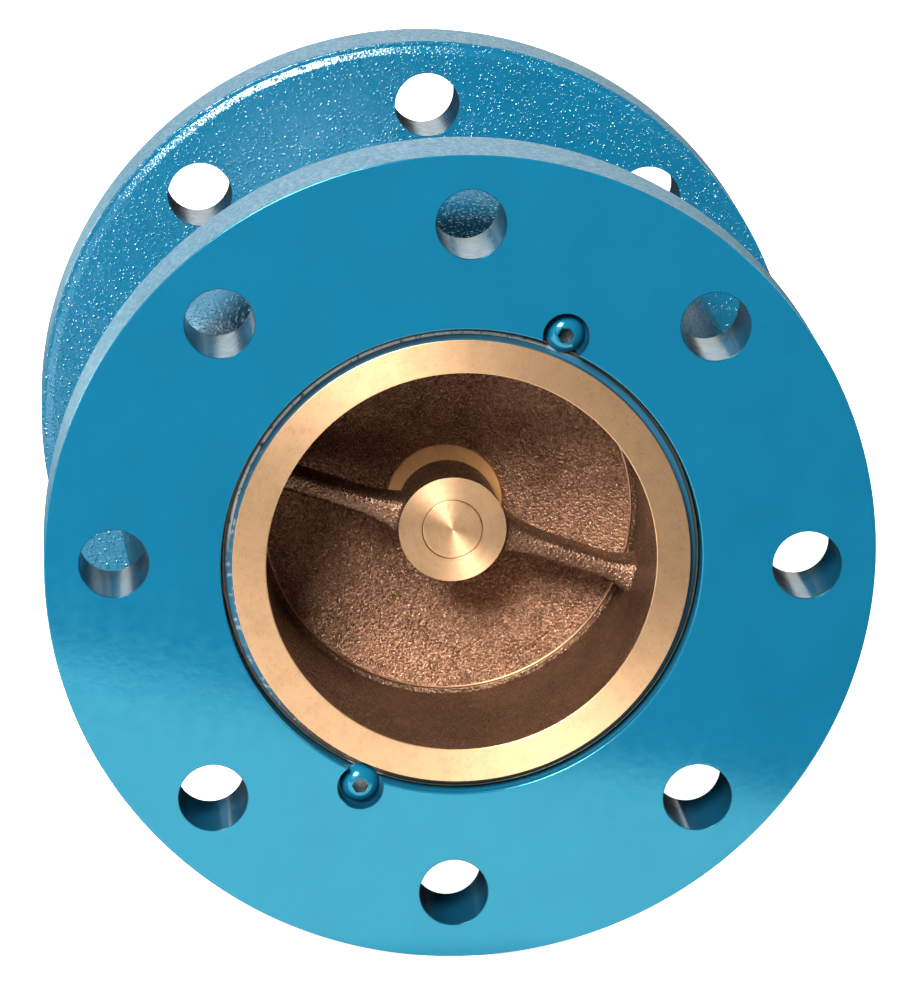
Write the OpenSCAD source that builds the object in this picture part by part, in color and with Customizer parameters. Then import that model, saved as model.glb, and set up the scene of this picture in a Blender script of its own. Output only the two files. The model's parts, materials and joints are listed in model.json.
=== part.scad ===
// Flanged silent check valve, 4 inch, with a centre-guided plug that a spring holds shut.
// The flow runs along +Y, from the inlet flange to the outlet flange, and +Z is up.
// The origin is the centre of the inlet flange's face. All lengths are millimetres.

/* [Pipe flanges] */
// Distance from the inlet face to the outlet face
valve_length = 184.15; // [180:0.05:190]
// Outer diameter of both flanges
flange_d = 228.6; // [226:0.1:232]
// Diameter of the bolt circle
bolt_circle_d = 190.5; // [188:0.1:193]
// Diameter of each bolt hole
bolt_hole_d = 19.05; // [16:0.05:20]
// Number of bolt holes in each flange
bolt_count = 8; // [4:4:8]
// Thickness of the inlet flange
inlet_flange_t = 25.4; // [22:0.1:27]
// Thickness of the outlet flange
outlet_flange_t = 22.2; // [19:0.1:24]

/* [Body casting] */
// Largest outer radius of the rounded chamber
bulb_r = 93; // [88:0.5:94]
// Outer radius where the chamber meets a flange
neck_r = 77; // [76:0.5:79]
// Thickness of the chamber wall
wall_t = 8; // [7:0.5:9]
// Radius of the outlet port
outlet_r = 50.8; // [46:0.1:54]
// Thickness of each rib that holds the rear hub
rib_t = 7; // [6:0.5:9]
// Number of ribs
rib_count = 4; // [3:1:4]

/* [Seat ring] */
// Depth of the ring's raised face behind the inlet face
ring_face_y = 1.0; // [0.5:0.1:1.5]
// Outer radius of the raised face
ring_face_r = 63; // [62.5:0.1:63.5]
// Radius of the inlet port through the ring
inlet_r = 53.7; // [53:0.1:54.5]
// Outer radius of the flange that the screws hold
ring_flange_r = 65.6; // [65:0.1:66]
// Outer radius of the sleeve
sleeve_r = 60.9; // [60.5:0.1:61]
// Depth of the sharp edge where the plug closes
seat_y = 53; // [50:0.5:55]
// Width of the narrow lip inside that edge
lip_w = 1.1; // [0.6:0.1:1.6]

/* [Front guide] */
// Depth of the hub's turned face
hub_front_y = 34.6; // [33:0.1:36]
// Radius of the hub at its turned face
hub_front_r = 15.1; // [14:0.1:16]
// Depth of the hub's back end
hub_back_y = 58.5; // [56:0.5:60]
// Radius of the hub at its back end
hub_back_r = 14.1; // [12:0.1:15]
// Angle of the right arm, from +X toward +Z
arm_angle = -18.2; // [-22:0.1:-14]
// Sideways shift of each arm from the centre line
arm_shift = 1.8; // [0:0.1:3]
// Thickness of each arm
arm_t = 6.4; // [5:0.1:8]
// Length of each arm along the flow
arm_len = 12; // [10:0.5:14]
// Depth of the arms' front edge
arm_front_y = 37; // [36:0.5:39]

/* [Plug] */
// Radius of the turned stem
stem_r = 8.45; // [8:0.05:9]
// Radial clearance of the stem in its two guides
stem_clearance = 0.08; // [0.05:0.01:0.09]
// Outer radius of the plug
plug_r = 57.5; // [57:0.1:57.7]
// Depth of the dished face where it meets the stem
dish_y = 64; // [62:0.5:66]
// Radius of the turned spot around the stem
spot_r = 16.5; // [14:0.5:18]
// Travel of the plug from shut to open
lift = 19; // [16:0.5:19.5]
// Depth of the stem's rear end when the plug is shut
stem_rear_y = 140; // [136:1:146]

/* [Spring] */
// Diameter of the wire
wire_d = 2.4; // [2:0.1:2.8]
// Mean radius of the coil
coil_r = 14.6; // [14.5:0.1:15]
// Number of open turns
open_turns = 4.5; // [4:0.5:5]

/* [Rear guide] */
// Depth of the rear hub's front face, which the spring pushes on
rear_hub_y = 118; // [116:0.5:120]
// Depth of the rear hub's back face
rear_hub_back_y = 152; // [148:0.5:156]
// Outer radius of the rear hub
rear_hub_r = 19; // [18.5:0.5:20]
// Outer radius of the bushing
bushing_r = 11.5; // [11:0.1:12]
// Length of the bushing that stands in front of the hub
bushing_nose = 5; // [4:0.5:6]

/* [Seat screws] */
// Angle of the upper screw, from +X toward +Z
screw_angle = 67.5; // [60:0.5:75]
// Distance of each screw from the centre line
screw_circle_r = 69.6; // [69.4:0.1:70]
// Diameter of the round head
screw_head_d = 11.1; // [10.5:0.1:11.5]
// Height of the head
screw_head_h = 3.3; // [3:0.1:3.5]
// Diameter of the threaded shank
screw_d = 6.2; // [6:0.1:6.3]
// Length of the shank
screw_len = 13; // [10:0.5:16]
// Width of the hexagon socket across its flats
socket_w = 4; // [3.5:0.1:4.2]

/* [Hidden] */
$fn = 96;
eps = 0.5;

flange_r = flange_d / 2;
outlet_back_y = valve_length - outlet_flange_t;
edge = 1;

// Chamber: its outside and inside are arcs on one centre line depth
bulb_y0 = inlet_flange_t + 6;
bulb_y1 = outlet_back_y - 6;
bulb_mid_y = (bulb_y0 + bulb_y1) / 2;
bulb_half = (bulb_y1 - bulb_y0) / 2;
bulb_rise = bulb_r - neck_r;
bulb_arc_r = (bulb_half * bulb_half + bulb_rise * bulb_rise) / (2 * bulb_rise);
bulb_centre_r = bulb_r - bulb_arc_r;
bulb_end_angle = asin(bulb_half / bulb_arc_r);
cavity_arc_r = bulb_arc_r - wall_t;
fillet_r = 6;
arc_steps = 20;

// Bores in the inlet end of the body
recess_r = ring_flange_r + 0.55;
recess_y = 12.7;
pilot_r = sleeve_r + 0.2;
pilot_end_y = 30;
cavity_start_y = 36;
cavity_end_y = 132;
outlet_start_y = 158;

// Seat ring and its ledge
ledge_y = 4.7;
port_chamfer = 1.2;
lip_r = inlet_r - lip_w;
seat_outer_r = plug_r + 0.5;
seat_end_y = seat_y + seat_outer_r - lip_r;
stem_bore_r = stem_r + stem_clearance;
groove_y = 21;
groove_w = 4.6;
groove_r = sleeve_r - 3.3;
cord_r = 1.7;
arm_flare = 8;
arm_swell = 2;
arm_steps = 24;

// Plug
seat_gap = 0.25;
rim_r = lip_r - seat_gap;
rim_y = seat_y + seat_gap * 0.5;
cone_end_y = rim_y + plug_r - rim_r;
edge_end_y = cone_end_y + 3.5;
dish_r = 20;
spot_y = dish_y + 1;
boss_face_y = 76;
boss_face_r = 19;
boss_r = 11.5;
stop_gap = 0.5;
boss_end_y = rear_hub_y - bushing_nose - lift - stop_gap;
stem_chamfer = 0.4;
stem_front_y = hub_front_y + 0.2;

// Spring, ground flat at both ends
spring_y0 = boss_face_y;
spring_y1 = rear_hub_y;
end_turns = 1;
spring_sides = 8;
spring_steps = 22;

screw_pocket_r = screw_head_d / 2 + 0.75;

// Ribs are shorter than the hub and end just inside its back face
rib_len = 26;
rib_inset = 2;

// Depth along a local Z axis becomes depth along +Y
module along_flow() {
    rotate([-90, 0, 0]) children();
}

// Turns a feature to an angle measured from +X toward +Z
module clocked(angle) {
    rotate([0, 0, -angle]) children();
}

// Points on an arc about [r, depth], where angle 0 points outward and 90 points downstream
function arc(centre, radius, from, to, steps) =
    [for (i = [0:steps]) let (a = from + (to - from) * i / steps)
        [centre[0] + radius * cos(a), centre[1] + radius * sin(a)]];

module ring_of(count, offset_angle = 0) {
    for (i = [0:count - 1]) rotate([0, 0, offset_angle + i * 360 / count]) children();
}

// Stadium outline that is long along its own Y and centred
module stadium(thickness, length) {
    square([thickness, length - thickness], center = true);
    for (s = [-1, 1]) translate([0, s * (length - thickness) / 2]) circle(d = thickness, $fn = 32);
}

// Outside of the casting: two flanges with a rounded chamber between them
module body_outside() {
    rotate_extrude() polygon(concat(
        [[0, 0], [flange_r - edge, 0], [flange_r, edge],
         [flange_r, inlet_flange_t - edge], [flange_r - edge, inlet_flange_t]],
        arc([neck_r + fillet_r, inlet_flange_t + fillet_r], fillet_r, -90, -180, 6),
        arc([bulb_centre_r, bulb_mid_y], bulb_arc_r, -bulb_end_angle, bulb_end_angle, arc_steps),
        arc([neck_r + fillet_r, outlet_back_y - fillet_r], fillet_r, 180, 90, 6),
        [[flange_r - edge, outlet_back_y], [flange_r, outlet_back_y + edge],
         [flange_r, valve_length - edge], [flange_r - edge, valve_length], [0, valve_length]]));
}

// Angle on the cavity's arc at a given depth
function cavity_angle(depth) = asin((depth - bulb_mid_y) / cavity_arc_r);

// Flow space inside the casting, before the ribs and the rear hub take their share
module flow_space() {
    rotate_extrude() polygon(concat(
        [[0, -eps], [recess_r + edge + eps, -eps], [recess_r, edge], [recess_r, recess_y],
         [pilot_r, recess_y], [pilot_r, pilot_end_y]],
        arc([bulb_centre_r, bulb_mid_y], cavity_arc_r,
            cavity_angle(cavity_start_y), cavity_angle(cavity_end_y), arc_steps),
        [[outlet_r, outlet_start_y], [outlet_r, valve_length - edge],
         [outlet_r + edge + eps, valve_length + eps], [0, valve_length + eps]]));
}

// Ribs cross the outlet passage and carry the rear hub
module rear_spider() {
    hub_len = rear_hub_back_y - rear_hub_y;
    rib_start_r = bushing_r + 2;
    translate([0, 0, rear_hub_y]) cylinder(r = rear_hub_r, h = hub_len);
    ring_of(rib_count, 45) translate([rib_start_r, 0, rear_hub_back_y - rib_inset - rib_len / 2])
        rotate([0, 90, 0]) linear_extrude(bulb_r - rib_start_r) rotate(90) stadium(rib_t, rib_len);
}

// One circle of bolt holes through a flange
module bolt_holes(face_y, thickness) {
    ring_of(bolt_count) translate([bolt_circle_d / 2, 0, face_y - eps])
        cylinder(d = bolt_hole_d, h = thickness + 2 * eps, $fn = 48);
}

module body() {
    color([0.10, 0.51, 0.68]) along_flow() difference() {
        body_outside();
        difference() {
            flow_space();
            rear_spider();
        }
        translate([0, 0, rear_hub_y - eps]) cylinder(r = bushing_r, h = rear_hub_back_y - rear_hub_y + 2 * eps);
        bolt_holes(0, inlet_flange_t);
        bolt_holes(outlet_back_y, outlet_flange_t);
        for (a = [screw_angle, screw_angle + 180]) clocked(a) translate([screw_circle_r, 0, 0]) {
            translate([0, 0, -eps]) cylinder(r = screw_pocket_r, h = ledge_y + eps, $fn = 48);
            cylinder(d = screw_d, h = ledge_y + screw_len, $fn = 48);
        }
    }
}

module rear_guide_bushing() {
    nose_y = rear_hub_y - bushing_nose;
    color([0.80, 0.60, 0.38]) along_flow() difference() {
        translate([0, 0, nose_y]) cylinder(r = bushing_r, h = rear_hub_back_y - nose_y);
        translate([0, 0, nose_y - eps]) cylinder(r = stem_bore_r, h = rear_hub_back_y - nose_y + 2 * eps);
    }
}

// Sleeve that slides into the body, with the sealing edge at its inner end
module seat_sleeve() {
    rotate_extrude() polygon([
        [inlet_r + port_chamfer, ring_face_y], [ring_face_r, ring_face_y], [ring_face_r, ledge_y],
        [ring_flange_r, ledge_y], [ring_flange_r, recess_y - 0.1], [sleeve_r, recess_y - 0.1],
        [sleeve_r, groove_y - groove_w / 2], [groove_r, groove_y - groove_w / 2],
        [groove_r, groove_y + groove_w / 2], [sleeve_r, groove_y + groove_w / 2],
        [sleeve_r, seat_end_y], [seat_outer_r, seat_end_y], [lip_r, seat_y],
        [inlet_r, seat_y - lip_w], [inlet_r, ring_face_y + port_chamfer]]);
}

// Half the arm's thickness at a radius: it swells toward the hub and toward the wall
function arm_half(r) = arm_t / 2
    + arm_swell * pow(max(0, (r - inlet_r + arm_flare) / arm_flare), 2)
    + arm_swell * pow(max(0, (hub_front_r + arm_flare - r) / arm_flare), 2);

// One arm of the front guide: a rounded vane on a web that swells at both ends
module guide_arm() {
    mid_y = arm_front_y + arm_len / 2;
    start_r = stem_bore_r + 1;
    end_r = inlet_r + 1;
    radii = [for (i = [0:arm_steps]) hub_front_r - 3 + (end_r - hub_front_r + 3) * i / arm_steps];
    translate([start_r, -arm_shift, mid_y]) rotate([0, 90, 0])
        linear_extrude(end_r - start_r) rotate(90) stadium(arm_t, arm_len);
    translate([0, -arm_shift, mid_y]) linear_extrude(arm_len - arm_t, center = true) polygon(concat(
        [for (r = radii) [r, arm_half(r)]],
        [for (i = [arm_steps:-1:0]) [radii[i], -arm_half(radii[i])]]));
}

module seat_ring() {
    color([0.84, 0.64, 0.43]) along_flow() difference() {
        union() {
            seat_sleeve();
            translate([0, 0, hub_front_y])
                cylinder(r1 = hub_front_r, r2 = hub_back_r, h = hub_back_y - hub_front_y);
            for (a = [arm_angle, arm_angle + 180]) clocked(a) guide_arm();
        }
        translate([0, 0, hub_front_y - eps]) cylinder(r = stem_bore_r, h = hub_back_y - hub_front_y + 2 * eps);
    }
}

module seat_o_ring() {
    color([0.08, 0.08, 0.08]) along_flow()
        translate([0, 0, groove_y]) rotate_extrude() translate([groove_r + cord_r + 0.05, 0]) circle(cord_r, $fn = 32);
}

// Round-headed socket screw whose head bears on the seat ring's ledge
module seat_screw(angle) {
    color([0.12, 0.48, 0.63]) along_flow() clocked(angle) translate([screw_circle_r, 0, 0]) difference() {
        union() {
            translate([0, 0, ledge_y]) cylinder(d = screw_d, h = screw_len, $fn = 48);
            rotate_extrude($fn = 48) polygon([
                [0, ledge_y - screw_head_h], [screw_head_d * 0.27, ledge_y - screw_head_h],
                [screw_head_d * 0.42, ledge_y - screw_head_h * 0.66], [screw_head_d / 2, ledge_y - screw_head_h * 0.15],
                [screw_head_d / 2, ledge_y], [0, ledge_y]]);
        }
        translate([0, 0, ledge_y - screw_head_h - eps])
            cylinder(d = socket_w / cos(30), h = screw_head_h * 0.6 + eps, $fn = 6);
    }
}

module seat_screw_upper() {
    seat_screw(screw_angle);
}

module seat_screw_lower() {
    seat_screw(screw_angle + 180);
}

// Turns done at a fraction of the wire's length: one closed turn at each end, open turns between
total_turns = open_turns + 2 * end_turns;
spring_free = spring_y1 - spring_y0 - wire_d;
open_pitch = (spring_free - 2 * end_turns * wire_d) / open_turns;

// Depth of the wire's centre after a number of turns
function wire_depth(turns) = spring_y0 + wire_d / 2 + (
    turns < end_turns ? turns * wire_d :
    turns < end_turns + open_turns ? end_turns * wire_d + (turns - end_turns) * open_pitch :
    spring_free - (total_turns - turns) * wire_d);

// Corner of the wire's section; the section stands in the plane through the axis
function wire_point(turns, corner) =
    let (a = 360 * turns, b = 360 * corner / spring_sides,
         r = coil_r + wire_d / 2 * 0.98 * cos(b), y = wire_depth(turns) + wire_d / 2 * 0.98 * sin(b))
    [r * cos(a), r * sin(a), y];

module spring() {
    rings = round(total_turns * spring_steps);
    last = rings * spring_sides;
    points = [for (i = [0:rings], j = [0:spring_sides - 1]) wire_point(i * total_turns / rings, j)];
    walls = [for (i = [0:rings - 1], j = [0:spring_sides - 1])
        let (k = (j + 1) % spring_sides)
        [i * spring_sides + j, (i + 1) * spring_sides + j, (i + 1) * spring_sides + k, i * spring_sides + k]];
    start_cap = [[for (j = [0:spring_sides - 1]) j]];
    end_cap = [[for (j = [spring_sides - 1:-1:0]) last + j]];
    color([0.72, 0.73, 0.74]) along_flow() polyhedron(points, concat(walls, start_cap, end_cap), convexity = 10);
}

// Dished plug and its stem, one casting turned on the stem, the spot and the closing edge
module plug() {
    color([0.45, 0.31, 0.23]) along_flow() rotate_extrude() polygon([
        [0, stem_front_y], [stem_r - stem_chamfer, stem_front_y], [stem_r, stem_front_y + stem_chamfer],
        [stem_r, spot_y], [spot_r, spot_y], [dish_r, dish_y], [rim_r - 0.8, rim_y + 0.4], [rim_r, rim_y],
        [plug_r, cone_end_y], [plug_r, edge_end_y], [boss_face_r + 3, boss_face_y - 2],
        [boss_face_r, boss_face_y], [boss_r, boss_face_y], [boss_r, boss_end_y],
        [stem_r, boss_end_y], [stem_r, stem_rear_y - 1], [stem_r - 1, stem_rear_y], [0, stem_rear_y]]);
}

body();
rear_guide_bushing();
seat_ring();
seat_o_ring();
seat_screw_upper();
seat_screw_lower();
spring();
plug();
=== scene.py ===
import json
import math

import bmesh
import bpy
from mathutils import Matrix, Vector, noise


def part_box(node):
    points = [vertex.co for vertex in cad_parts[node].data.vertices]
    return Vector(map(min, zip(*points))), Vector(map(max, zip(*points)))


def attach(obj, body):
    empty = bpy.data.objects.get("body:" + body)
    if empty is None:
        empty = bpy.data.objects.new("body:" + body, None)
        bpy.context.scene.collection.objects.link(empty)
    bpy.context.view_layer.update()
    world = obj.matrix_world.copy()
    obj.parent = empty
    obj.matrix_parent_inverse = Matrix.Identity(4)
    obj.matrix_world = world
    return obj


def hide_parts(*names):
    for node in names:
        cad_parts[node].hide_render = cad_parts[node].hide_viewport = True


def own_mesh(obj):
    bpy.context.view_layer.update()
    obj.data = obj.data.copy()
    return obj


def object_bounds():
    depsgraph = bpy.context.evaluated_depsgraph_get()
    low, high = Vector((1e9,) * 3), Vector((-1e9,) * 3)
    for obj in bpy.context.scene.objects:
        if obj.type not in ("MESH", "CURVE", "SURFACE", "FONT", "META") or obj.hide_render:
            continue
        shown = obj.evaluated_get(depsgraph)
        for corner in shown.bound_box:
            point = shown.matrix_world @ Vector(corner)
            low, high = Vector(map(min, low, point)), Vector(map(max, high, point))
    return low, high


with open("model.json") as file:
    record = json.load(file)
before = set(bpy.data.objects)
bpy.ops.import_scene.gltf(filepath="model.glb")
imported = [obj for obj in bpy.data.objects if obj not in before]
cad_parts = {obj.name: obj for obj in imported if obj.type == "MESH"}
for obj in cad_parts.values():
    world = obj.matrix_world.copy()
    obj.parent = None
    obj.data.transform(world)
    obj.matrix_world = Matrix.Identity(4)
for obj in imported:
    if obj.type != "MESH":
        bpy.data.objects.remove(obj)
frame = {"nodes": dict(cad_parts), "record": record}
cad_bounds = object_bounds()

MM = 0.001

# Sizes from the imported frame, in millimetres
bolts = next(m for m in frame["record"]["mounts"] if m["name"] == "inlet_bolts")["dims"]
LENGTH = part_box("body")[1].y / MM
FLANGE_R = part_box("body")[1].x / MM
BOLT_CIRCLE_R = bolts["pcd_mm"] / 2
BOLT_HOLE_R = bolts["hole_r_mm"]
BOLT_COUNT = bolts["count"]
RING_FACE_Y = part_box("seat_ring")[0].y / MM
RING_FLANGE_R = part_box("seat_ring")[1].x / MM
PLUG_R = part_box("plug")[1].x / MM
STEM_FRONT_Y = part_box("plug")[0].y / MM
STEM_REAR_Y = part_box("plug")[1].y / MM
SPRING_Y0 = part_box("spring")[0].y / MM
SPRING_Y1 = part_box("spring")[1].y / MM

# Body casting, in millimetres. R is a radius from the flow axis, and Y is a depth along the flow from
# the inlet face
INLET_FLANGE_T = 25.4
OUTLET_FLANGE_T = 22.2
BULB_R = 93.0
NECK_R = 77.0
WALL_T = 8.0
NECK_FILLET = 6.0
RECESS_R = 66.15
RECESS_Y = 12.7
PILOT_R = 61.1
OUTLET_R = 50.8
REAR_HUB_R = 19.0
REAR_HUB_Y = 118.0
REAR_HUB_BACK_Y = 152.0
BUSHING_R = 11.5
BUSHING_NOSE = 5.0
BUSHING_CLEARANCE = 0.08
RIB_COUNT = 4
RIB_ANGLE = 45
RIB_T = 7.0
RIB_LEN = 26.0
RIB_MID_Y = 137.0
RIB_END_R = 74.0
RIB_FLARE_R = 66.0
OUTLET_LAND_Y = 158.0
PILOT_END_Y = 30.0
EDGE_LIP = 0.9
EDGE_SHOULDER = 1.4
POCKET_EDGE = 0.2
HOLE_EDGE = 0.25
CUTTER_CLEAR = 3.0
CAVITY_START_Y = 132.0
CAVITY_END_Y = 36.0

# Seat ring and its guide
RING_FACE_R = 63.0
INLET_R = 53.7
LEDGE_Y = 4.7
SLEEVE_R = 60.9
RING_BACK_Y = 12.6
GROOVE_R = 57.6
GROOVE_Y0 = 18.7
GROOVE_Y1 = 23.3
SLEEVE_END_Y = 58.4
SEAT_CLEARANCE = 0.5
SEAT_Y = 53.0
LIP_W = 1.1
HUB_FRONT_Y = 34.6
HUB_FRONT_R = 15.1
HUB_BACK_Y = 58.5
HUB_BACK_R = 14.1
STEM_BORE_CLEARANCE = 0.10
ARM_ANGLE = -18.2
ARM_SHIFT = 1.8
ARM_T = 6.4
ARM_FRONT_Y = 37.0
ARM_LEN = 12.0
ARM_WALL_Y0 = 32.0
ARM_WALL_Y1 = 52.0

# Plug, spring and screws
STEM_R = 8.45
DISH_Y = 64.0
SPOT_R = 16.5
BACK_HOLLOW_R = 22.0
BACK_HOLLOW_Y = 74.0
SPRING_SEAT_R = 19.0
SPRING_BOSS_R = 11.5
SPRING_BOSS_Y = 93.5
PAD_ANGLE = -46.0
PAD_CENTRE_R = 43.0
WIRE_R = 1.2
COIL_R = 14.6
SCREW_CIRCLE_R = 69.6
SCREW_ANGLES = {"seat_screw_upper": 67.5, "seat_screw_lower": 247.5}
SCREW_HEAD_R = 5.55
SCREW_HEAD_H = 3.3
SCREW_DOME_R = 4.2
SCREW_DOME_AT = (1.3, 4.06)
SCREW_SHANK_R = 3.1
SCREW_SHANK_LEN = 13.0
SOCKET_W = 4.0
SOCKET_DEPTH = 1.9
SOCKET_TIP_DEPTH = 2.4
SCREW_POCKET_R = 6.3

# Mesh fineness: segments round the axis
ROUND = 384
HUB_ROUND = 96
HOLE_ROUND = 72
SCREW_ROUND = 64
POCKET_ROUND = 64
BORE_ROUND = 128
WALL_ROUND = 256

# Zones whose finish a rounded edge takes
EDGE_ZONES = ("face", "bronze_face", "bronze")

# The table's front edge as the gloss shows it, in metres: its depth on the axis, half the width of its
# blur, and how it slants across
TABLE_EDGE_Y = -0.210
TABLE_EDGE_BLUR = 0.022
TABLE_EDGE_SLOPE = 0.66

# The floor: its glow to the camera and in the gloss, and the light it casts back near and far
FLOOR_GLOW = 0.92
FLOOR_GLOSS = 2.10
FLOOR_BOUNCE = (0.40, 0.40, 0.40, 1)
FLOOR_BEYOND = (0.03, 0.03, 0.03, 1)
FLOOR_SPAN = 6.0

# Lamps: name, azimuth, elevation, distance (m), width (m), height (m), power (W)
LAMPS = (
    ("key", -24, 36.5, 2.4, 0.85, 0.85, 174),
    ("fill", -22, 12, 2.2, 1.2, 0.7, 5),
    ("left", -62, 10, 1.8, 0.9, 0.9, 2.5),
    ("backdrop", 175, 20, 2.6, 4.0, 0.9, 21),
    ("rear", -125, 8, 2.6, 1.4, 0.6, 40),
    ("right", 84, 27, 2.4, 1.0, 0.9, 30),
)
SKY_ON_DULL = 0.08
SKY_IN_GLOSS = 0.05


# ---------------------------------------------------------------- outlines and turned meshes

def arc(centre, radius, start, end, steps):
    """Points on an arc about (r, depth); angle 0 points outward and 90 points downstream."""
    angles = [math.radians(start + (end - start) * i / steps) for i in range(steps + 1)]
    return [(centre[0] + radius * math.cos(a), centre[1] + radius * math.sin(a)) for a in angles]


def rounded(corners, closed):
    """Corners (r, depth, fillet, zone) as points (r, depth, zone), with an arc at each filleted corner.

    A point's zone names the finish of the side that starts there. A rounded edge is finished as the
    machined face beside it."""
    points = []
    count = len(corners)
    for i, (r, y, fillet, zone) in enumerate(corners):
        if not fillet or (not closed and i in (0, count - 1)):
            points.append((r, y, zone))
            continue
        here = Vector((r, y))
        beside = (corners[i - 1][3], zone)
        edge_zone = next((z for z in EDGE_ZONES if z in beside), beside[0])
        before = Vector(corners[i - 1][:2]) - here
        after = Vector(corners[(i + 1) % count][:2]) - here
        half = before.angle(after) / 2
        cut = min(fillet / math.tan(half), before.length * 0.49, after.length * 0.49)
        radius = cut * math.tan(half)
        middle = (before.normalized() + after.normalized()).normalized() * (radius / math.sin(half))
        centre = here + middle
        start = here + before.normalized() * cut - centre
        end = here + after.normalized() * cut - centre
        sweep = start.angle_signed(end)
        steps = max(2, math.ceil(abs(sweep) / math.radians(18)))
        for k in range(steps + 1):
            spoke = start.copy()
            spoke.rotate(Matrix.Rotation(-sweep * k / steps, 2))
            points.append((centre.x + spoke.x, centre.y + spoke.y, edge_zone if k < steps else zone))
    return points


def resampled(points, step, closed):
    """The same outline with no side longer than step."""
    fine = []
    sides = len(points) if closed else len(points) - 1
    for i in range(sides):
        (r0, y0, zone), (r1, y1, _) = points[i], points[(i + 1) % len(points)]
        parts = max(1, math.ceil(math.hypot(r1 - r0, y1 - y0) / step))
        fine += [(r0 + (r1 - r0) * k / parts, y0 + (y1 - y0) * k / parts, zone) for k in range(parts)]
    if not closed:
        fine.append(points[-1])
    return fine


def turned(name, points, materials, closed, segments=ROUND, relief=None):
    """A mesh turned about the flow axis from points (r, depth, zone).

    relief(position, zone) gives how far a point of a cast zone stands out of the true surface, in mm.
    No point goes beyond the flanges' radius."""
    order = list(materials)
    mesh = bmesh.new()
    count = len(points)
    rings = []
    for i, (r, y, zone) in enumerate(points):
        previous = points[i - 1] if closed or i else points[i]
        following = points[(i + 1) % count] if closed or i < count - 1 else points[i]
        along = Vector((following[0] - previous[0], following[1] - previous[1])).normalized()
        outward = Vector((along.y, -along.x))
        cast = relief and zone == previous[2]
        if r < 1e-6:
            rings.append([mesh.verts.new((0, y * MM, 0))] * segments)
            continue
        ring = []
        for k in range(segments):
            a = 2 * math.pi * k / segments
            spot = Vector((r * math.cos(a), y, r * math.sin(a)))
            if cast:
                rise = min(relief(spot, zone), FLANGE_R - r)
                spot.x += outward.x * rise * math.cos(a)
                spot.z += outward.x * rise * math.sin(a)
                spot.y += outward.y * rise
            ring.append(mesh.verts.new(spot * MM))
        rings.append(ring)
    for i in range(count if closed else count - 1):
        low, high = rings[i], rings[(i + 1) % count]
        for k in range(segments):
            corners = [low[k], low[(k + 1) % segments], high[(k + 1) % segments], high[k]]
            distinct = list(dict.fromkeys(corners))
            if len(distinct) > 2:
                mesh.faces.new(distinct).material_index = order.index(points[i][2])
    return finished(name, mesh, [materials[z] for z in order])


def finished(name, mesh, materials):
    """Turns a bmesh into an object with outward normals and smooth shading."""
    bmesh.ops.recalc_face_normals(mesh, faces=mesh.faces)
    data = bpy.data.meshes.new(name)
    mesh.to_mesh(data)
    mesh.free()
    for material in materials:
        data.materials.append(material)
    piece = bpy.data.objects.new(name, data)
    bpy.context.scene.collection.objects.link(piece)
    smooth(piece)
    return piece


def smooth(piece, angle=32):
    """Smooth shading, but sharp where faces meet at more than the angle in degrees."""
    piece.data.polygons.foreach_set("use_smooth", [True] * len(piece.data.polygons))
    piece.data.set_sharp_from_angle(angle=math.radians(angle))


def weighted(piece):
    """Keeps flat faces flat where they meet a fillet."""
    modifier = piece.modifiers.new("weighted", "WEIGHTED_NORMAL")
    modifier.keep_sharp = True
    modifier.weight = 80


def bake(piece):
    """Applies the piece's modifiers."""
    graph = bpy.context.evaluated_depsgraph_get()
    data = bpy.data.meshes.new_from_object(piece.evaluated_get(graph))
    piece.modifiers.clear()
    piece.data = data


def combine(piece, others, operation):
    """Joins other solids to a piece, or cuts them out of it, and removes them."""
    for other in others:
        modifier = piece.modifiers.new("solid", "BOOLEAN")
        modifier.operation = operation
        modifier.solver = "EXACT"
        modifier.object = other
    bake(piece)
    for other in others:
        bpy.data.objects.remove(other)
    smooth(piece)


def clocked(piece, radius, angle):
    """Moves a mesh built on the flow axis to a radius and an angle from +X toward +Z."""
    a = math.radians(angle)
    offset = Vector((radius * math.cos(a), 0, radius * math.sin(a)))
    piece.data.transform(Matrix.Translation(offset * MM))
    return piece


def joined(name, pieces):
    """One object from several, which keeps each one's materials."""
    mesh = bmesh.new()
    materials = []
    for piece in pieces:
        offset = len(mesh.faces)
        mesh.from_mesh(piece.data)
        mesh.faces.ensure_lookup_table()
        own = list(piece.data.materials)
        for material in own:
            if material not in materials:
                materials.append(material)
        for face in mesh.faces[offset:]:
            face.material_index = materials.index(own[face.material_index])
        bpy.data.objects.remove(piece)
    data = bpy.data.meshes.new(name)
    mesh.to_mesh(data)
    mesh.free()
    for material in materials:
        data.materials.append(material)
    result = bpy.data.objects.new(name, data)
    bpy.context.scene.collection.objects.link(result)
    smooth(result)
    return result


def lumps(size, height, seed=0.0):
    """A relief function: casting lumps of about that size and height in mm."""
    fine_size = size * 0.37
    broad_share = 0.7
    fine_share = 0.3

    def relief(spot, zone):
        if not zone.startswith("cast"):
            return 0.0
        broad = noise.noise(spot / size + Vector((seed, 0, 0)))
        fine = noise.noise(spot / fine_size + Vector((0, seed, 7)))
        return height * (broad_share * broad + fine_share * fine)
    return relief


# ---------------------------------------------------------------- materials

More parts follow.
